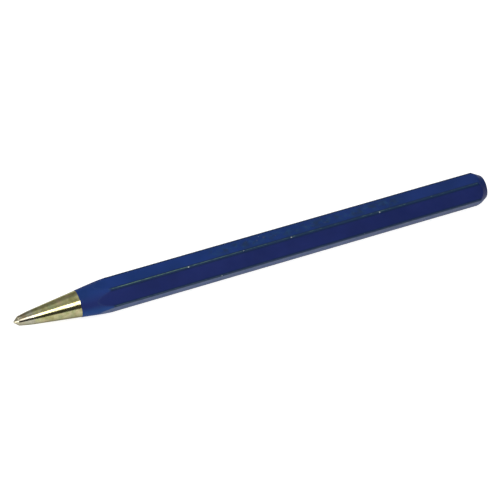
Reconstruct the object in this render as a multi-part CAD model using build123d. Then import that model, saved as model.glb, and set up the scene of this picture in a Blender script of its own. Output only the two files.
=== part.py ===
from build123d import *

import os
from math import cos, radians, sin, tan

# Centre punch, struck by hand.
#
# One bar of hexagonal tool steel is turned to a long cone, ground to a point, and chamfered at the struck
# end. It is dipped in blue lacquer from the struck end to part way down the cone. The punch lies on one
# flat of the hexagon, with its axis along X, its point towards -X and its struck end towards +X. The origin
# is under the middle of its length, on the surface that it lies on.

# Driving dimensions, in millimetres and degrees
LENGTH = 152.4              # from the point to the struck end, over the lacquer
HEX_FLATS = 9.4             # across the flats of the bare bar
HEX_CORNER_R = 0.9          # rounded corners of the drawn bar
TAPER_LENGTH = 24.8         # from the point to where the cone first meets the flats
TAPER_HALF_ANGLE = 7.4      # between the cone and the axis
POINT_HALF_ANGLE = 41.0     # between the ground point and the axis
POINT_BASE_R = 1.4          # where the ground point starts
POINT_TIP_R = 0.4           # the point is a little blunt
BLEND_LENGTH = 5.0          # the cone curves in to the ground point over this length
STRUCK_FACE_R = 3.52        # flat of the struck end, measured to its sharp corner
STRUCK_CHAMFER_ANGLE = 30.0  # between the chamfer and the axis
STRUCK_EDGE_R = 0.45        # the chamfer runs into the struck face with this radius
LACQUER = 0.08              # thickness of the coat
BARE_LENGTH = 19.7          # from the point to the edge of the coat

# Places that follow from them
AXIS_Z = HEX_FLATS / 2 + LACQUER
POINT_X = -LENGTH / 2
STEEL_END_X = LENGTH / 2 - LACQUER
COAT_EDGE_X = POINT_X + BARE_LENGTH
TAPER_END_X = POINT_X + TAPER_LENGTH
CLEAR_R = HEX_FLATS         # any radius outside the hexagon's corners


def hexagonal_bar(grow):
    """The endless bar with its rounded corners, larger all round by grow."""
    flats = HEX_FLATS + 2 * grow
    outline = RegularPolygon(flats / 2, side_count=6, major_radius=False)
    outline = fillet(outline.vertices(), HEX_CORNER_R + grow)
    across_x = Plane(origin=(POINT_X - LENGTH, 0, AXIS_Z), x_dir=(0, 1, 0), z_dir=(1, 0, 0))
    return extrude(across_x * outline, amount=3 * LENGTH)


def taper_radius(x):
    """Radius of the bare cone at x."""
    return HEX_FLATS / 2 + (x - TAPER_END_X) * tan(radians(TAPER_HALF_ANGLE))


def point_outline():
    """Half outline of the front: the tip's small round, the ground point, and the curve into the cone."""
    lean = radians(POINT_HALF_ANGLE)
    slope = radians(TAPER_HALF_ANGLE)
    centre_x = POINT_X + POINT_TIP_R
    middle = (radians(90) - lean) / 2
    crest = (centre_x - POINT_TIP_R * cos(middle), POINT_TIP_R * sin(middle))
    start = (centre_x - POINT_TIP_R * sin(lean), POINT_TIP_R * cos(lean))
    base = (start[0] + (POINT_BASE_R - start[1]) / tan(lean), POINT_BASE_R)
    blend_end = (base[0] + BLEND_LENGTH, taper_radius(base[0] + BLEND_LENGTH))
    tip = ThreePointArc((POINT_X, 0), crest, start)
    blend = TangentArc(blend_end, base, tangent=(-cos(slope), -sin(slope)))
    return tip.edges() + Line(start, base).edges() + blend.edges(), blend_end


def turned_form(grow):
    """What the lathe and the grinder leave: a solid of revolution that trims the bar, larger by grow."""
    taper_slope = tan(radians(TAPER_HALF_ANGLE))
    chamfer_lean = radians(STRUCK_CHAMFER_ANGLE)
    end_x = STEEL_END_X + grow
    face_r = STRUCK_FACE_R + grow * (1 - sin(chamfer_lean)) / cos(chamfer_lean)
    cone_grow = grow / cos(radians(TAPER_HALF_ANGLE))
    clear_x = TAPER_END_X + (CLEAR_R - HEX_FLATS / 2 - cone_grow) / taper_slope
    chamfer_x = end_x - (CLEAR_R - face_r) / tan(chamfer_lean)
    outline = [(clear_x, CLEAR_R), (chamfer_x, CLEAR_R), (end_x, face_r), (end_x, 0)]
    if grow:
        edge_r = taper_radius(COAT_EDGE_X) + cone_grow
        front = Polyline((COAT_EDGE_X, 0), (COAT_EDGE_X, edge_r), *outline)
        closing = Line((end_x, 0), (COAT_EDGE_X, 0))
        edges = front.edges() + closing.edges()
    else:
        point_edges, cone_start = point_outline()
        front = Polyline(cone_start, *outline)
        closing = Line((end_x, 0), (POINT_X, 0))
        edges = point_edges + front.edges() + closing.edges()
    half = make_face(edges)
    corner = half.vertices().sort_by_distance((end_x, face_r, 0))[0]
    half = fillet(corner, STRUCK_EDGE_R + grow)
    return Pos(0, 0, AXIS_Z) * revolve(Plane.XZ * half, axis=Axis.X)


def punch_body():
    """The steel bar, turned, ground and chamfered."""
    return hexagonal_bar(0) & turned_form(0)


def paint_coat(body):
    """The closed shell of lacquer that the body fills."""
    return (hexagonal_bar(LACQUER) & turned_form(LACQUER)) - body


def write(name, shape):
    """Write one node's STEP file and print what it holds."""
    solid = shape.solids()[0]
    solid.label = name
    export_step(solid, f"parts/{name}.step")
    box = solid.bounding_box()
    print(f"{name}: {len(shape.solids())} solid, {solid.volume:.1f} mm3, {box.min} to {box.max}")


os.makedirs("parts", exist_ok=True)
steel = punch_body()
write("punch_body", steel)
write("paint_coat", paint_coat(steel))
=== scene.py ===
import math
import random

import bpy
import numpy as np
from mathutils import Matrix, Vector, noise


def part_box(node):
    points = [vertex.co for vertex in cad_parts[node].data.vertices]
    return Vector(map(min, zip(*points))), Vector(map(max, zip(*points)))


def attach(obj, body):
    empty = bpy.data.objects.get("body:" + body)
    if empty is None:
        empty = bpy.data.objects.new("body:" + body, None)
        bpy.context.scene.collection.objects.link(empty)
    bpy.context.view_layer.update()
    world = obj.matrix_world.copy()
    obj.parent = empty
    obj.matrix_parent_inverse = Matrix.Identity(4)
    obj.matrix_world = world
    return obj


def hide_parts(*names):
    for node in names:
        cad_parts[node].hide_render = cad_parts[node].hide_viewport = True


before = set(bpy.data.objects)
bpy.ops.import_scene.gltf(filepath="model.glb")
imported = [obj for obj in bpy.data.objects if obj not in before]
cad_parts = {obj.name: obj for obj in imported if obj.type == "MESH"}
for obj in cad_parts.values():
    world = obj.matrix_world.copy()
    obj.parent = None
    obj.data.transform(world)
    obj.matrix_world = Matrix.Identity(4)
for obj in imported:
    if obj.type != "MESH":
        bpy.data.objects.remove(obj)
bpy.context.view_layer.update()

# Looks of the centre punch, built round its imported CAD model.
#
# Two pieces stand for the two CAD nodes: the steel bar with its turned cone and ground point, and the
# shell of blue lacquer. Each is a grid of rows along the axis and columns round it, so the hexagon, the
# cone and the chamfer meet in soft creases, and the small faults of a dipped coat are real shapes. All
# lengths are in metres, in the frame of the CAD model, with the point towards -X.

MM = 0.001

# Sizes that the frame gives
coat_low, coat_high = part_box("paint_coat")
steel_low, steel_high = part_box("punch_body")
LACQUER = steel_low.z - coat_low.z
AXIS_Z = (coat_low.z + coat_high.z) / 2
HALF_FLATS = (steel_high.z - steel_low.z) / 2
POINT_X = steel_low.x
STEEL_END_X = steel_high.x
COAT_EDGE_X = coat_low.x

# Sizes that repeat those of the CAD model
CORNER_R = 0.9 * MM
TAPER_END_X = POINT_X + 24.8 * MM
TAPER_SLOPE = math.tan(math.radians(7.4))
POINT_LEAN = math.radians(41.0)
POINT_BASE_R = 1.4 * MM
BLEND_LENGTH = 5.0 * MM
POINT_TIP_R = 0.4 * MM
STRUCK_FACE_R = 3.52 * MM
STRUCK_LEAN = math.radians(30.0)
STRUCK_EDGE_R = 0.45 * MM

# The turned form's outline: any radius outside the hexagon's corners, the round of its hidden corners
# there, the round where the ground point meets the cone, and a ring in the middle of the struck face
CLEAR_R = HALF_FLATS * 1.35
CLEAR_ROUND = 0.5 * MM
POINT_EDGE_R = 0.25 * MM
POLE_RING_R = 0.05 * MM

# The creases where the turned form cuts the hexagon: round on the steel, and rounder over the lacquer
STEEL_CREASE = 0.05 * MM
COAT_CREASE = 0.08 * MM

# The grid round the axis: its columns are closer together on the hexagon's corners than on its flats
SECTOR = math.radians(60)
CORNER_COLUMNS = 14
FLAT_COLUMNS = 18
CORNER_SHARE = 0.18


# ---------------------------------------------------------------- shape

def column_angles():
    """Angles of the columns round the axis, from +Y towards +Z, with the corners at 0, 60, 120 degrees."""
    angles = []
    half = SECTOR * CORNER_SHARE / 2
    for corner in range(6):
        middle = SECTOR * corner
        for i in range(CORNER_COLUMNS):
            angles.append(middle - half + 2 * half * i / CORNER_COLUMNS)
        for i in range(FLAT_COLUMNS):
            angles.append(middle + half + (SECTOR - 2 * half) * i / FLAT_COLUMNS)
    return np.array(angles)


ANGLES = column_angles()


def off_flat(angle):
    """Angle from the middle of the nearest flat, from 0 to 30 degrees."""
    return np.abs((angle % SECTOR) - SECTOR / 2)


def hexagon_radius(angle, grow):
    """Radius of the rounded hexagon, larger all round by grow."""
    flats = HALF_FLATS + grow
    corner = CORNER_R + grow
    lean = off_flat(angle)
    centre = (flats - corner) / math.cos(SECTOR / 2)
    to_corner = SECTOR / 2 - lean
    on_corner = centre * np.sin(to_corner)
    arc = centre * np.cos(to_corner) + np.sqrt(np.maximum(corner ** 2 - on_corner ** 2, 0))
    flat = flats / np.cos(lean)
    return np.where(flats * np.tan(lean) < (flats - corner) * math.tan(SECTOR / 2), flat, arc)


def soft_minimum(a, b, width):
    """The smaller of a and b, with a round of about that width where they meet."""
    mix = np.clip(0.5 + 0.5 * (b - a) / width, 0, 1)
    return b * (1 - mix) + a * mix - width * mix * (1 - mix)


def every_column(value):
    """The same value for each column."""
    return np.full(len(ANGLES), value)


def rise(value, start, length):
    """0 up to start, then rising over the length to 1."""
    return np.clip((value - start) / length, 0, 1)


def taper_radius(x):
    """Radius of the bare cone at x."""
    return HALF_FLATS + (x - TAPER_END_X) * TAPER_SLOPE


def rounded(points, radii, arc_steps):
    """The points of an outline, with an arc of the given radius in place of each inner corner."""
    path = [points[0]]
    for before, corner, after, radius in zip(points, points[1:], points[2:], radii):
        b, c, a = (np.array(p, float) for p in (before, corner, after))
        to_before = (b - c) / np.linalg.norm(b - c)
        to_after = (a - c) / np.linalg.norm(a - c)
        half = math.acos(np.clip(to_before @ to_after, -1, 1)) / 2
        reach = radius / math.tan(half)
        inward = to_before + to_after
        middle = c + inward / np.linalg.norm(inward) * radius / math.sin(half)
        start = c + to_before * reach - middle
        turn = math.pi - 2 * half
        side = math.copysign(1, start[0] * (c - middle)[1] - start[1] * (c - middle)[0])
        for i in range(arc_steps + 1):
            t = side * turn * i / arc_steps
            path.append((middle[0] + start[0] * math.cos(t) - start[1] * math.sin(t),
                         middle[1] + start[0] * math.sin(t) + start[1] * math.cos(t)))
    path.append(points[-1])
    return path


SHORTEST_RUN = 0.01 * MM


def spaced(path, pitch):
    """The path with points added, so that no run is longer than pitch gives for its place along X."""
    rows = [path[0]]
    for (xa, ra), (xb, rb) in zip(path, path[1:]):
        length = math.hypot(xb - xa, rb - ra)
        if length < SHORTEST_RUN:
            continue
        done = 0.0
        while done < length:
            done = min(done + pitch(xa + (xb - xa) * done / length), length)
            rows.append((xa + (xb - xa) * done / length, ra + (rb - ra) * done / length))
    return rows


def ring_grid(name, rings, pole_start, pole_end):
    """A closed mesh of rings of vertices, with a pole before the first ring and one after the last."""
    count = len(ANGLES)
    vertices = [v for ring in rings for v in ring]
    faces = []
    for r in range(len(rings) - 1):
        for c in range(count):
            d = (c + 1) % count
            faces.append((r * count + c, r * count + d, (r + 1) * count + d, (r + 1) * count + c))
    for pole, ring, turned in ((pole_start, 0, True), (pole_end, len(rings) - 1, False)):
        centre = len(vertices)
        vertices.append(pole)
        for c in range(count):
            d = (c + 1) % count
            a, b = ring * count + c, ring * count + d
            faces.append((centre, b, a) if turned else (centre, a, b))
    mesh = bpy.data.meshes.new(name)
    mesh.from_pydata(vertices, [], faces)
    mesh.validate()
    mesh.shade_smooth()
    piece = bpy.data.objects.new(name, mesh)
    bpy.context.scene.collection.objects.link(piece)
    return piece


def place(x, radius):
    """The points of one ring, with a place along the axis and a radius for each column."""
    return [(px, r * math.cos(a), AXIS_Z + r * math.sin(a)) for px, r, a in zip(x, radius, ANGLES)]


def add_attribute(piece, name, values):
    """A value for each vertex, which the materials read."""
    attribute = piece.data.attributes.new(name, "FLOAT", "POINT")
    attribute.data.foreach_set("value", np.asarray(values, np.float32))


def wave(x, angle, radius, size, seed):
    """Smooth noise from -1 to 1 on the surface, with features of about that size."""
    p = Vector((x, radius * math.cos(angle), radius * math.sin(angle))) / size
    return noise.noise(p + Vector((seed, seed * 1.7, -seed)))


def fault(x, radius, kind):
    """Height of one kind of unevenness at x, for each column."""
    size, height, seed = kind
    radii = np.broadcast_to(radius, len(ANGLES))
    return np.array([wave(x, angle, r, size, seed) * height for angle, r in zip(ANGLES, radii)])


# ---------------------------------------------------------------- steel

TIP_STEPS = 6
BLEND_STEPS = 14

# The bare cone's faults: the size of their features, their height, and a seed for the noise
HAND_WAVES = (2.2 * MM, 0.006 * MM, 3)
LATHE_GROOVES = (0.35 * MM, 0.0016 * MM, 9)
# They leave out the very tip, and end a little way under the lacquer
EVEN_TIP_R = 0.2 * MM
FAULTS_END_X = COAT_EDGE_X + 0.3 * MM


def steel_outline():
    """Half outline of the bare turned form, from tip to struck face, and where the ground point ends."""
    centre_x = POINT_X + POINT_TIP_R
    tip = []
    for i in range(1, TIP_STEPS + 1):
        t = (math.pi / 2 - POINT_LEAN) * i / TIP_STEPS
        tip.append((centre_x - POINT_TIP_R * math.cos(t), POINT_TIP_R * math.sin(t)))
    base_x = tip[-1][0] + (POINT_BASE_R - tip[-1][1]) / math.tan(POINT_LEAN)

    # The cone's front curves in to the ground point: an arc that meets the cone without a corner
    end_x = base_x + BLEND_LENGTH
    sag = taper_radius(base_x) - POINT_BASE_R
    blend = []
    for i in range(BLEND_STEPS):
        back = BLEND_LENGTH * (1 - i / BLEND_STEPS)
        blend.append((end_x - back, taper_radius(end_x - back) - sag * (back / BLEND_LENGTH) ** 2))

    clear_x = TAPER_END_X + (CLEAR_R - HALF_FLATS) / TAPER_SLOPE
    chamfer_x = STEEL_END_X - (CLEAR_R - STRUCK_FACE_R) / math.tan(STRUCK_LEAN)
    front = rounded([tip[-1], blend[0], blend[1]], [POINT_EDGE_R], 4)
    corners = [blend[-1], (clear_x, CLEAR_R), (chamfer_x, CLEAR_R), (STEEL_END_X, STRUCK_FACE_R),
               (STEEL_END_X, POLE_RING_R)]
    back = rounded(corners, [CLEAR_ROUND, CLEAR_ROUND, STRUCK_EDGE_R], 5)
    return tip[:-1] + front[:-1] + blend[1:-1] + back, base_x


def steel_pitch(x):
    """Distance between rows of the steel: fine where it is bare, coarse under the lacquer."""
    if x < POINT_X + 4 * MM:
        return 0.08 * MM
    if x < COAT_EDGE_X + 0.5 * MM:
        return 0.16 * MM
    return 1.2 * MM


def make_steel():
    """The steel bar. Its cone is a little uneven, as turned and hand-ground steel is."""
    path, base_x = steel_outline()
    rings = []
    for x, limit in spaced(path, steel_pitch):
        radius = soft_minimum(hexagon_radius(ANGLES, 0), every_column(limit), STEEL_CREASE)
        if x < FAULTS_END_X and limit > EVEN_TIP_R:
            # A squeezed x draws the waves out along the axis, and a squeezed radius the grooves round it
            radius = radius + fault(x * 0.25, limit, HAND_WAVES) + fault(x, limit * 0.12, LATHE_GROOVES)
        rings.append(place(every_column(x), radius))
    piece = ring_grid("steel_bar", rings, (POINT_X, 0, AXIS_Z), (STEEL_END_X, 0, AXIS_Z))
    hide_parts("punch_body")
    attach(piece, "root")
    return piece, base_x


# ---------------------------------------------------------------- lacquer

# Small chips: place along the punch from its middle, angle round the axis, radius; in mm, degrees and mm
CHIPS = [
    (-22.5, 120.0, 0.13), (-4.9, 119.0, 0.13), (10.6, 119.5, 0.13), (39.7, 120.5, 0.12),
    (1.5, 72.5, 0.12), (22.5, 104.0, 0.08),
]
# More chips are drawn at random, on every corner but the one at 120 degrees
OTHER_CORNERS = (0, 60, 180, 240, 300)
RANDOM_CHIPS = 16
CHIP_SEED = 7

# The corner's mask starts this far from the middle of a flat, and is full at the corner itself
CORNER_START = math.radians(20.0)
CORNER_RISE = math.radians(10.0)
# How far each of the six corners is rubbed, from the one at +Y round over the top
CORNER_WEAR = (0.35, 0.50, 1.00, 0.25, 0.45, 0.40)
# The rubbing is narrower than the corner, and sits a little to one side of it
RUB_START = math.radians(28.3)
RUB_RISE = math.radians(1.4)
RUB_SHIFT = math.radians(1.8)
# The creases where the cone meets the flats are rubbed too, but less than the corners: a painted highlight
# line along the crease
CREASE_HIGHLIGHT = 0.05
CREASE_WIDTH = 0.035 * MM

# The inside of the coat: how far it stands off the steel, where it starts, and how far apart its rows are
GAP = 0.004 * MM
INNER_START = 0.4 * MM
INNER_PITCH = 1.6 * MM
# The front edge is rounded from the inside to the outside over this length
LIP = LACQUER * 0.9
LIP_STEPS = 8
# The coat is drawn in a little so that its waves stay inside the CAD model, and it is thinner on corners
DRAWN_IN = 0.008 * MM
CORNER_THINNING = 0.012 * MM
# A low bead runs along the front edge
BEAD_HEIGHT = 0.02 * MM
BEAD_WIDTH = 0.45 * MM
# The front edge wanders from a true circle, and the rows behind it less, down to none at this length
WANDER_FADE = 4 * MM
# Part of the lacquer's thickness that a chip takes away
CHIP_DEPTH = 0.7
# In a chip, distance along the punch counts for less than across, so that it is longer that way
CHIP_STRETCH = 0.75
# How ragged its edge is, the size of the ragged features, and a seed for their noise
CHIP_RAGGED = 0.45
CHIP_RAG_SIZE = 0.30 * MM
CHIP_RAG_SEED = 11
# Where its slope ends and how wide it is, in parts of its radius
CHIP_RIM = 1.15
CHIP_SLOPE = 0.3
# The shallow unevenness under the lacquer of the upper flat: from where to where, and how wide
MARK_START_X = -16 * MM
MARK_END_X = 49 * MM
MARK_FADE = 4 * MM
MARK_ANGLE = math.radians(90)
MARK_SPREAD = math.radians(13)
FAINTEST_MARK = 0.02

# The coat's faults: the size of their features, their height, and a seed for the noise
SAGS = (5.0 * MM, 0.007 * MM, 1)
RIPPLES = (1.5 * MM, 0.0022 * MM, 2)
FILLED_MARKS = (1.3 * MM, 0.010 * MM, 5)


def all_chips():
    """The chips with a few more on the other corners, in metres and radians."""
    draw = random.Random(CHIP_SEED)
    chips = [(x * MM, math.radians(a), r * MM) for x, a, r in CHIPS]
    for _ in range(RANDOM_CHIPS):
        corner = draw.choice(OTHER_CORNERS)
        angle = math.radians(corner + draw.uniform(-2.0, 2.0))
        chips.append((draw.uniform(-47, 71) * MM, angle, draw.uniform(0.06, 0.15) * MM))
    return chips


def coat_outline():
    """Half outline of the lacquer's outside, from its front edge to the middle of the struck face."""
    cone_grow = LACQUER / math.cos(math.atan(TAPER_SLOPE))
    end_x = STEEL_END_X + LACQUER
    face_r = STRUCK_FACE_R + LACQUER * (1 - math.sin(STRUCK_LEAN)) / math.cos(STRUCK_LEAN)
    clear_x = TAPER_END_X + (CLEAR_R - HALF_FLATS - cone_grow) / TAPER_SLOPE
    chamfer_x = end_x - (CLEAR_R - face_r) / math.tan(STRUCK_LEAN)
    edge = (COAT_EDGE_X, taper_radius(COAT_EDGE_X) + cone_grow)
    corners = [edge, (clear_x, CLEAR_R), (chamfer_x, CLEAR_R), (end_x, face_r), (end_x, POLE_RING_R)]
    return rounded(corners, [CLEAR_ROUND, CLEAR_ROUND, STRUCK_EDGE_R + LACQUER], 7)


def coat_rows(chips):
    """Rows of the lacquer's outside, closer together at the creases and at each chip."""
    def pitch(x):
        if x < COAT_EDGE_X + 0.5 * MM:
            return 0.05 * MM
        if x < TAPER_END_X - 1.0 * MM:
            return 0.22 * MM
        if x < TAPER_END_X + 6.0 * MM or x > STEEL_END_X - 5.0 * MM:
            return 0.13 * MM
        near = min(abs(x - chip_x) - 1.5 * radius for chip_x, _, radius in chips)
        return 0.10 * MM if near < 0 else 0.55 * MM
    return spaced(coat_outline(), pitch)


def edge_wander(angle):
    """How far the lacquer's front edge stands from a true circle: one slow wave and some faster ones."""
    ring = Vector((math.cos(angle), math.sin(angle), 0.3))
    return (noise.noise(ring * 1.6) * 0.10 + noise.noise(ring * 6.0) * 0.035) * MM


WANDER = np.array([edge_wander(a) for a in ANGLES])


def wandered(x):
    """x for each column, moved with the front edge and less so further from it."""
    fade = max(0.0, 1 - (x - COAT_EDGE_X) / WANDER_FADE)
    return x + (WANDER - WANDER.min()) * fade


def filled_mark(x):
    """How strongly the lacquer shows the shallow unevenness of the upper flat, from 0 to 1, by column."""
    along = rise(x, MARK_START_X, MARK_FADE) * rise(-x, -MARK_END_X, MARK_FADE)
    return along * np.exp(-((ANGLES - MARK_ANGLE) / MARK_SPREAD) ** 2 / 2)


def coat_relief(x, radius, chips):
    """Height of the outside over its even form, the chips' mask and the filled mark's mask, by column."""
    mark = filled_mark(x)
    marked = np.where(mark > FAINTEST_MARK, mark, 0.0)
    height = fault(x, radius, SAGS) + fault(x, radius, RIPPLES) + fault(x, radius, FILLED_MARKS) * marked
    chipped = every_column(0.0)
    for chip_x, chip_angle, size in chips:
        if abs(x - chip_x) > 2 * size:
            continue
        for i, angle in enumerate(ANGLES):
            turn = (angle - chip_angle + math.pi) % (2 * math.pi) - math.pi
            ragged = 1 + CHIP_RAGGED * wave(x, angle, radius[i], CHIP_RAG_SIZE, CHIP_RAG_SEED)
            away = math.hypot((x - chip_x) * CHIP_STRETCH, turn * radius[i]) / (size * ragged)
            chipped[i] = max(chipped[i], min(1.0, (CHIP_RIM - away) / CHIP_SLOPE))
    return height - chipped * LACQUER * CHIP_DEPTH, chipped, mark


def corner_wear():
    """The wear of the nearest corner, for each column."""
    nearest = np.round(ANGLES / SECTOR).astype(int) % 6
    return np.array(CORNER_WEAR)[nearest]


def make_coat():
    """The lacquer: a closed shell with a rounded front edge, thin corners, chips and slight waves."""
    chips = all_chips()
    corner = rise(off_flat(ANGLES), CORNER_START, CORNER_RISE)
    wear = corner_wear() * rise(off_flat(ANGLES + RUB_SHIFT), RUB_START, RUB_RISE)
    none = every_column(0.0)
    rings = []
    masks = {"corner": [], "wear": [], "flat": [], "chip": [], "mark": []}

    def add(x, radius, on_bar=0, on_flat=none, crease=none, chipped=none, mark=none):
        """One more ring, with its masks."""
        rings.append(place(x, radius))
        masks["corner"].extend(corner * on_bar)
        masks["wear"].extend(np.maximum(wear * on_bar, CREASE_HIGHLIGHT * crease))
        masks["flat"].extend(on_flat)
        masks["chip"].extend(chipped)
        masks["mark"].extend(mark)

    # The inside, from the struck face forward
    bar = hexagon_radius(ANGLES, 0)
    inner = spaced(steel_outline()[0], lambda x: INNER_PITCH)
    for x, limit in reversed([p for p in inner if p[0] > COAT_EDGE_X + INNER_START]):
        add(every_column(x + GAP), soft_minimum(bar, every_column(limit), STEEL_CREASE) + GAP)

    # Round the front edge
    for step in range(LIP_STEPS):
        t = math.pi / 2 * step / LIP_STEPS
        x = wandered(COAT_EDGE_X) + LIP * (1 - math.cos(t))
        add(x, taper_radius(x) + GAP + (LACQUER - GAP) * math.sin(t))

    # The outside, from the front edge back to the struck face
    hexagon = hexagon_radius(ANGLES, LACQUER)
    for x, limit in coat_rows(chips):
        if x < COAT_EDGE_X + LIP:
            continue
        # How far the hexagon lies inside the turned form: over 0 on the bar, under 0 on cone and chamfer
        inside = limit - hexagon
        on_bar = np.clip(inside / (0.25 * MM) + 0.5, 0, 1)
        on_flat = np.clip(inside / (0.05 * MM) - 0.6, 0, 1) if x < 0 else every_column(1.0)
        crease = np.exp(-(inside / CREASE_WIDTH) ** 2)
        radius = soft_minimum(hexagon, every_column(limit), COAT_CREASE)
        height, chipped, mark = coat_relief(x, radius, chips)
        bead = BEAD_HEIGHT * math.exp(-((x - COAT_EDGE_X) / BEAD_WIDTH) ** 2)
        thin = CORNER_THINNING * np.clip(corner * 2 - 1, 0, 1) * on_bar
        on_struck_face = x > STEEL_END_X + LACQUER * 0.5
        if not on_struck_face:
            radius = radius + height - thin + bead - DRAWN_IN
        add(wandered(x), radius, on_bar, on_flat, crease, chipped, mark)

    poles = (STEEL_END_X + GAP, 0, AXIS_Z), (STEEL_END_X + LACQUER, 0, AXIS_Z)
    piece = ring_grid("lacquer_coat", rings, *poles)
    for name, values in masks.items():
        add_attribute(piece, name, values + [0.0, 0.0])
    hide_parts("paint_coat")
    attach(piece, "root")
    return piece


# ---------------------------------------------------------------- materials

# The lacquer's blues, each from its darker to its lighter clouds, painted lighter or darker by which way
# it faces: on the upper flat, on the flats beside it and below, and on the cone beside and below, with
# painted floor light on those below
UPPER_BLUE = (0.0046, 0.0246, 0.118), (0.0072, 0.0292, 0.147)
SIDE_BLUE = (0.0080, 0.0162, 0.089), (0.0106, 0.0198, 0.108)
LOWER_BLUE = (0.0060, 0.0355, 0.126), (0.0070, 0.0395, 0.140)
CONE_SIDE_BLUE = (0.0080, 0.0175, 0.100), (0.0094, 0.0198, 0.111)
CONE_LOWER_BLUE = (0.0052, 0.0340, 0.146), (0.0062, 0.0380, 0.163)
STRUCK_END_BLUE = (0.0040, 0.0105, 0.066)
# Painted shade: a darker blue beside each corner and on it
SHADE_BESIDE_CORNER = (0.0030, 0.0145, 0.048)
SHADE_ON_CORNER = (0.0050, 0.0230, 0.056)

# What shows in the lacquer over the filled marks, and where it is rubbed or chipped
SMUDGE = (0.012, 0.050, 0.118)
SHADOW = (0.0080, 0.0240, 0.064)
SPECK = (0.045, 0.060, 0.10)
# The rubbed colour is partly real wear through to the metal and partly a painted highlight along the
# corners
RUBBED_AND_HIGHLIGHT = (0.15, 0.27, 0.19)
CHIPPED = (0.44, 0.47, 0.46)

# The steel's colours, the first two from their darker to their lighter mottling
STRAW = (0.272, 0.262, 0.080), (0.520, 0.500, 0.262)
GREY = (0.300, 0.290, 0.205), (0.490, 0.478, 0.375)
BLOOM = (0.62, 0.46, 0.31), (0.31, 0.39, 0.20)
STAIN = (0.22, 0.18, 0.10)
BURNT_AND_SHADE = (0.30, 0.225, 0.105)
GROUND_POINT = (0.42, 0.395, 0.28)
PAINTED_UNDERSIDE_SHADE = (0.16, 0.15, 0.11)
EDGE_TINT = (0.35, 0.34, 0.30, 1.0)


class Nodes:
    """A short way to write a node tree."""

    def __init__(self, tree):
        self.tree = tree
        tree.nodes.clear()

    def add(self, kind, inputs=None, **settings):
        """A node with its settings, and its inputs as values or as other nodes' outputs."""
        node = self.tree.nodes.new(kind)
        for key, value in settings.items():
            setattr(node, key, value)
        for key, value in (inputs or {}).items():
            if isinstance(value, bpy.types.NodeSocket):
                self.tree.links.new(value, node.inputs[key])
            else:
                node.inputs[key].default_value = value
        return node

    def show(self, shader, kind="ShaderNodeOutputMaterial"):
        """Make this shader the one that is seen."""
        self.add(kind, {"Surface": shader.outputs[0]})

    def math(self, operation, a, b=0.0):
        """The result of one sum."""
        return self.add("ShaderNodeMath", {0: a, 1: b}, operation=operation).outputs[0]

    def times(self, a, b):
        """a times b."""
        return self.math("MULTIPLY", a, b)

    def surface_place(self):
        """Where the surface is, its place along the punch, and how far it faces up, from -1 to 1."""
        coordinates = self.add("ShaderNodeTexCoord")
        here = coordinates.outputs["Object"]
        along = self.add("ShaderNodeSeparateXYZ", {0: here}).outputs["X"]
        facing = self.add("ShaderNodeSeparateXYZ", {0: coordinates.outputs["Normal"]}).outputs["Z"]
        return here, along, facing

    def noise(self, here, scale, detail=3.0, rough=0.5):
        """Noise from 0 to 1 with features of 1 / scale metres."""
        inputs = {"Vector": here, "Scale": scale, "Detail": detail, "Roughness": rough}
        return self.add("ShaderNodeTexNoise", inputs).outputs["Fac"]

    def stretched(self, here, along, across):
        """The place with other scales along the axis and across it, to draw noise out."""
        return self.add("ShaderNodeMapping", {"Vector": here, "Scale": (along, across, across)}).outputs[0]

    def attribute(self, name):
        """A value that the mesh holds for each vertex."""
        return self.add("ShaderNodeAttribute", attribute_name=name).outputs["Fac"]

    def spread(self, value, low, high, to_low=0.0, to_high=1.0):
        """value from low to high, as a value from to_low to to_high, clamped."""
        inputs = {"Value": value, "From Min": low, "From Max": high, "To Min": to_low, "To Max": to_high}
        return self.add("ShaderNodeMapRange", inputs, clamp=True).outputs["Result"]

    def mix(self, share, a, b):
        """Colour a turning to colour b."""
        made = self.add("ShaderNodeMix", data_type="RGBA", clamp_factor=True)
        for socket, value in ((0, share), (6, a), (7, b)):
            if isinstance(value, bpy.types.NodeSocket):
                self.tree.links.new(value, made.inputs[socket])
            else:
                made.inputs[socket].default_value = (*value, 1.0)
        return made.outputs[2]

    def bump(self, height, distance, strength=1.0, onto=None):
        """A normal that follows the height."""
        inputs = {"Height": height, "Distance": distance, "Strength": strength}
        if onto is not None:
            inputs["Normal"] = onto
        return self.add("ShaderNodeBump", inputs).outputs["Normal"]


def new_material(name):
    """An empty node material, and its Nodes."""
    material = bpy.data.materials.new(name)
    material.use_nodes = True
    return material, Nodes(material.node_tree)


def lacquer_blue_with_painted_light(n, here, along, facing):
    """The lacquer's blue, with painted light and shade by which way it faces, and deeper towards the
    struck end.
    """
    flat = n.attribute("flat")
    cloud = n.spread(n.noise(here, 120, 4), 0.35, 0.65)
    upper = n.mix(cloud, *UPPER_BLUE)
    side = n.mix(flat, n.mix(cloud, *CONE_SIDE_BLUE), n.mix(cloud, *SIDE_BLUE))
    lower = n.mix(flat, n.mix(cloud, *CONE_LOWER_BLUE), n.mix(cloud, *LOWER_BLUE))
    # Painted light and shade: the side blue turns to the lighter lower blue as the surface faces down
    # towards the floor, and to the upper blue as it faces up
    painted_light_turn = n.math("ADD", facing, n.times(flat, 0.33))
    colour = n.mix(n.spread(painted_light_turn, 0.36, -0.02), side, lower)
    colour = n.mix(n.spread(facing, 0.55, 0.90), colour, upper)
    return n.mix(n.spread(along, -20 * MM, 70 * MM, 0.0, 0.28), colour, STRUCK_END_BLUE)


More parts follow.
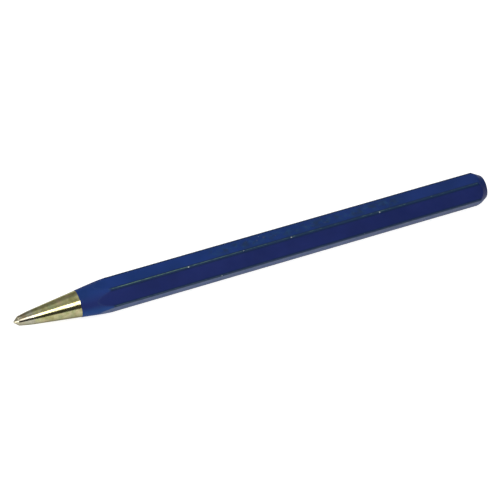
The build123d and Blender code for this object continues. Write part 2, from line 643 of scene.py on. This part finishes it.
def over_marks(n, here, colour):
    """The colour with smudges, shadows and specks over the filled marks."""
    mark = n.attribute("mark")
    smudge = n.times(n.spread(n.noise(here, 520, 3, 0.6), 0.45, 0.72), mark)
    colour = n.mix(n.times(smudge, 0.85), colour, SMUDGE)
    shadow = n.times(n.spread(n.noise(here, 430, 4, 0.6), 0.48, 0.58), mark)
    colour = n.mix(n.times(shadow, 0.8), colour, SHADOW)
    speck = n.times(n.spread(n.noise(here, 900, 2), 0.68, 0.74), mark)
    return n.mix(n.times(speck, 0.5), colour, SPECK)


def rubbed_and_highlight(n, here, along):
    """How far the lacquer is rubbed off, in patches: most towards the point, and in spots elsewhere;
    partly real wear and partly a painted highlight that fades towards the struck end.
    """
    fade = n.spread(along, -40 * MM, 10 * MM, 1.0, 0.08)
    patchy = n.spread(n.noise(here, 700, 5, 0.7), 0.30, 0.62)
    spots = n.spread(n.noise(here, 330, 3, 0.6), 0.52, 0.64)
    spotted = n.math("MAXIMUM", fade, n.times(spots, 0.42))
    return n.times(n.times(n.attribute("wear"), patchy), spotted)


def lacquer_material():
    """Dipped blue lacquer: deep blue, a little cloudy, rubbed on the corners, with chips to the steel."""
    material, n = new_material("blue_lacquer")
    here, along, facing = n.surface_place()
    colour = over_marks(n, here, lacquer_blue_with_painted_light(n, here, along, facing))

    # Along each corner a darker band on both sides, and another, darker blue on the corner itself: painted
    # shade along the corners
    corner = n.attribute("corner")
    band = n.times(n.spread(corner, 0.22, 0.52), n.spread(corner, 0.78, 0.94, 1.0, 0.0))
    colour = n.mix(n.times(band, 0.85), colour, SHADE_BESIDE_CORNER)
    colour = n.mix(n.spread(corner, 0.66, 0.88, 0.0, 0.9), colour, SHADE_ON_CORNER)

    # The wear: rubbed places are smoother and partly metal, with a painted highlight on the corners and
    # creases, and chips are bare
    rubbed = rubbed_and_highlight(n, here, along)
    colour = n.mix(rubbed, colour, RUBBED_AND_HIGHLIGHT)
    bare = n.spread(n.attribute("chip"), 0.45, 0.6)
    colour = n.mix(bare, colour, CHIPPED)
    metal = n.math("MAXIMUM", n.times(rubbed, 0.7), bare)

    # Duller on the cone than on the flats, with a soft peel and a fine grain
    on_cone = n.times(n.math("SUBTRACT", 1.0, n.attribute("flat")), 0.20)
    rough = n.spread(n.noise(here, 300, 4, 0.6), 0.3, 0.7, 0.38, 0.48)
    rough = n.math("ADD", rough, on_cone)
    rough = n.math("SUBTRACT", rough, n.times(rubbed, 0.12))
    normal = n.bump(n.noise(here, 1100, 2), 0.006 * MM, 0.5)
    normal = n.bump(n.noise(here, 5200, 3, 0.6), 0.0016 * MM, 0.5, normal)
    n.show(n.add("ShaderNodeBsdfPrincipled", {
        "Base Color": colour, "Metallic": metal, "Roughness": rough, "Normal": normal,
        "Specular IOR Level": 0.12, "IOR": 1.5}))
    return material


def steel_colour(n, here, along, facing, on_point):
    """Straw yellow on the cone and grey near the point, mottled, stained, and darker underneath with
    painted shade.
    """
    wander = n.times(n.math("SUBTRACT", n.noise(here, 420, 3), 0.5), 9.0 * MM)
    film = n.spread(n.math("ADD", along, wander), POINT_X + 5.2 * MM, POINT_X + 7.2 * MM)
    mottle = n.spread(n.noise(here, 650, 5, 0.65), 0.34, 0.66)
    colour = n.mix(film, n.mix(mottle, *GREY), n.mix(mottle, *STRAW))

    tint = n.times(n.spread(n.noise(here, 420, 3), 0.50, 0.64), n.spread(film, 0.0, 1.0, 0.6, 1.0))
    bloom = n.mix(n.spread(n.noise(here, 240, 1), 0.44, 0.56), *BLOOM)
    colour = n.mix(n.times(tint, 0.60), colour, bloom)
    stain = n.spread(n.noise(here, 1400, 4, 0.7), 0.58, 0.74)
    colour = n.mix(n.times(stain, 0.35), colour, STAIN)

    # A darker brown near the point, and painted shade: strongest where the cone faces up, weak where the
    # highlight falls
    near_point = n.spread(along, POINT_X + 2.8 * MM, POINT_X + 5.2 * MM, 0.85, 0.0)
    burnt_and_shade = n.times(n.spread(n.noise(here, 700, 3), 0.36, 0.52), near_point)
    colour = n.mix(n.times(burnt_and_shade, n.spread(facing, 0.74, 0.88, 0.20, 1.0)), colour, BURNT_AND_SHADE)
    colour = n.mix(on_point, colour, GROUND_POINT)
    # Painted shade: darker where the cone faces down
    return n.mix(n.spread(facing, 0.45, -0.35, 0.10, 0.54), colour, PAINTED_UNDERSIDE_SHADE)


def steel_material(base_x):
    """Turned steel under a thin clear film, with a ground point that ends at base_x."""
    material, n = new_material("bare_steel")
    here, along, facing = n.surface_place()
    on_point = n.spread(along, base_x - 0.05 * MM, base_x + 0.10 * MM, 1.0, 0.0)

    # The lathe's marks run round the axis, and the grinder's scratches on the point run along it
    normal = n.bump(n.noise(n.stretched(here, 1.0, 0.05), 9000, 3, 0.7), 0.0022 * MM, 0.15)
    scratches = n.noise(n.stretched(here, 0.12, 1.0), 9000, 3, 0.7)
    normal = n.bump(scratches, 0.0030 * MM, n.times(on_point, 0.5), normal)
    rough = n.spread(n.noise(here, 900, 4, 0.6), 0.3, 0.7, 0.12, 0.19)
    rough = n.math("ADD", rough, n.times(on_point, 0.10))
    n.show(n.add("ShaderNodeBsdfPrincipled", {
        "Base Color": steel_colour(n, here, along, facing, on_point), "Metallic": 1.0,
        "Roughness": rough, "Normal": normal, "Specular Tint": EDGE_TINT,
        "Coat Weight": 0.2, "Coat Roughness": 0.12, "Coat IOR": 1.5}))
    return material


# ---------------------------------------------------------------- stage

FLOOR_REACH = 4.0
FLOOR_GREYS = (0.41, 0.41, 0.41), (0.43, 0.43, 0.43)
FLOOR_LIGHT = (1.0, 1.0, 0.985, 1.0)
FLOOR_LIGHT_STRENGTH = 0.825

# How bright the room is at each angle, from the horizon in front over the top to the one at the back
ROOM_LEVELS = (
    (0, 0.07), (36, 0.07), (42, 0.10), (62, 0.16), (72, 0.62), (88, 0.58),
    (100, 0.78), (109, 0.78), (120, 0.50), (134, 0.34), (180, 0.34),
)
PALE_LEVEL = (0.92, 0.92, 0.92)

# The camera looks at the target from an azimuth, counted from the front, and an elevation, in degrees
CAMERA_TARGET = Vector((-0.001765, 0.0, 0.0064))
CAMERA_AZIMUTH = -22.79
CAMERA_ELEVATION = 43.45
CAMERA_DISTANCE = 0.669
CAMERA_SENSOR_MM = 36.0
CAMERA_LENS_MM = 161.15


def make_floor():
    """A wide pale floor with a faint grain, which gives off light of its own and so comes out white."""
    mesh = bpy.data.meshes.new("floor")
    near, far = -FLOOR_REACH, FLOOR_REACH
    mesh.from_pydata([(near, near, 0), (far, near, 0), (far, far, 0), (near, far, 0)], [], [(0, 1, 2, 3)])
    floor = bpy.data.objects.new("floor", mesh)
    bpy.context.scene.collection.objects.link(floor)
    material, n = new_material("floor")
    here = n.add("ShaderNodeTexCoord").outputs["Object"]
    n.show(n.add("ShaderNodeBsdfPrincipled", {
        "Base Color": n.mix(n.noise(here, 40, 4), *FLOOR_GREYS), "Roughness": 0.9,
        "Specular IOR Level": 0.1, "Emission Color": FLOOR_LIGHT,
        "Emission Strength": FLOOR_LIGHT_STRENGTH}))
    mesh.materials.append(material)


def make_world():
    """A room, dark in front and bright overhead, dimmer towards +X, and pale low at its sides and back."""
    world = bpy.data.worlds.new("room")
    bpy.context.scene.world = world
    world.use_nodes = True
    n = Nodes(world.node_tree)
    split = n.add("ShaderNodeSeparateXYZ", {0: n.add("ShaderNodeTexCoord").outputs["Generated"]})
    towards_front = n.times(split.outputs["Y"], -1.0)
    up = split.outputs["Z"]
    turn = n.math("DIVIDE", n.math("ARCTAN2", up, towards_front), math.pi)
    ramp = n.add("ShaderNodeValToRGB", {"Fac": turn})
    elements = ramp.color_ramp.elements
    elements.remove(elements[1])
    for i, (angle, level) in enumerate(ROOM_LEVELS):
        element = elements.new(angle / 180) if i else elements[0]
        element.color = (level, level, level, 1.0)
    shade = n.spread(split.outputs["X"], 0.35, 0.80, 1.0, 0.15)
    low = n.spread(up, 0.060, 0.080, 1.0, 0.0)
    not_in_front = n.spread(towards_front, 0.05, 0.45, 1.0, 0.0)
    pale = n.times(n.times(low, not_in_front), shade)
    colour = n.mix(pale, n.times(ramp.outputs["Color"], shade), PALE_LEVEL)
    n.show(n.add("ShaderNodeBackground", {"Color": colour, "Strength": 1.0}), "ShaderNodeOutputWorld")


def aim(thing, azimuth, elevation, distance, target):
    """Put a lamp or a camera at that azimuth and elevation, in degrees, so that it faces the target."""
    a, e = math.radians(azimuth), math.radians(elevation)
    outward = Vector((math.sin(a) * math.cos(e), -math.cos(a) * math.cos(e), math.sin(e)))
    thing.location = target + outward * distance
    thing.rotation_mode = "QUATERNION"
    thing.rotation_quaternion = outward.to_track_quat("Z", "Y")
    bpy.context.scene.collection.objects.link(thing)


def soft_box(name, azimuth, elevation, distance, width, height, radiance, colour=(1, 1, 1)):
    """A rectangular light that faces the punch. Its radiance is what a mirror would show of it."""
    light = bpy.data.lights.new(name, "AREA")
    light.shape = "RECTANGLE"
    light.size = width
    light.size_y = height
    light.energy = radiance * width * height * math.pi
    light.color = colour
    aim(bpy.data.objects.new(name, light), azimuth, elevation, distance, Vector((0, 0, 0)))


def make_lights():
    """Key lights over the camera and to its right, one soft light on each side, and a low one in front."""
    soft_box("key", 4.0, 50.5, 1.0, 0.45, 0.45, 4.7, (1.0, 0.93, 1.05))
    soft_box("key_left", -21, 51.5, 1.0, 0.30, 0.46, 3.6, (1.0, 0.95, 0.98))
    soft_box("left", -112, 52, 1.3, 1.0, 0.50, 4.2)
    soft_box("right", 115, 52, 1.3, 1.0, 0.50, 1.0)
    soft_box("front_left", -69, 9, 1.2, 0.46, 0.48, 5.4)


def make_camera():
    """The camera looks down at the punch from the side of its point."""
    data = bpy.data.cameras.new("camera")
    data.sensor_width = CAMERA_SENSOR_MM
    data.lens = CAMERA_LENS_MM
    camera = bpy.data.objects.new("camera", data)
    aim(camera, CAMERA_AZIMUTH, CAMERA_ELEVATION, CAMERA_DISTANCE, CAMERA_TARGET)
    bpy.context.scene.camera = camera


make_camera()
make_floor()
make_world()
make_lights()
bpy.context.scene.view_settings.view_transform = "Standard"

steel, point_base_x = make_steel()
coat = make_coat()
steel.data.materials.append(steel_material(point_base_x))
coat.data.materials.append(lacquer_material())
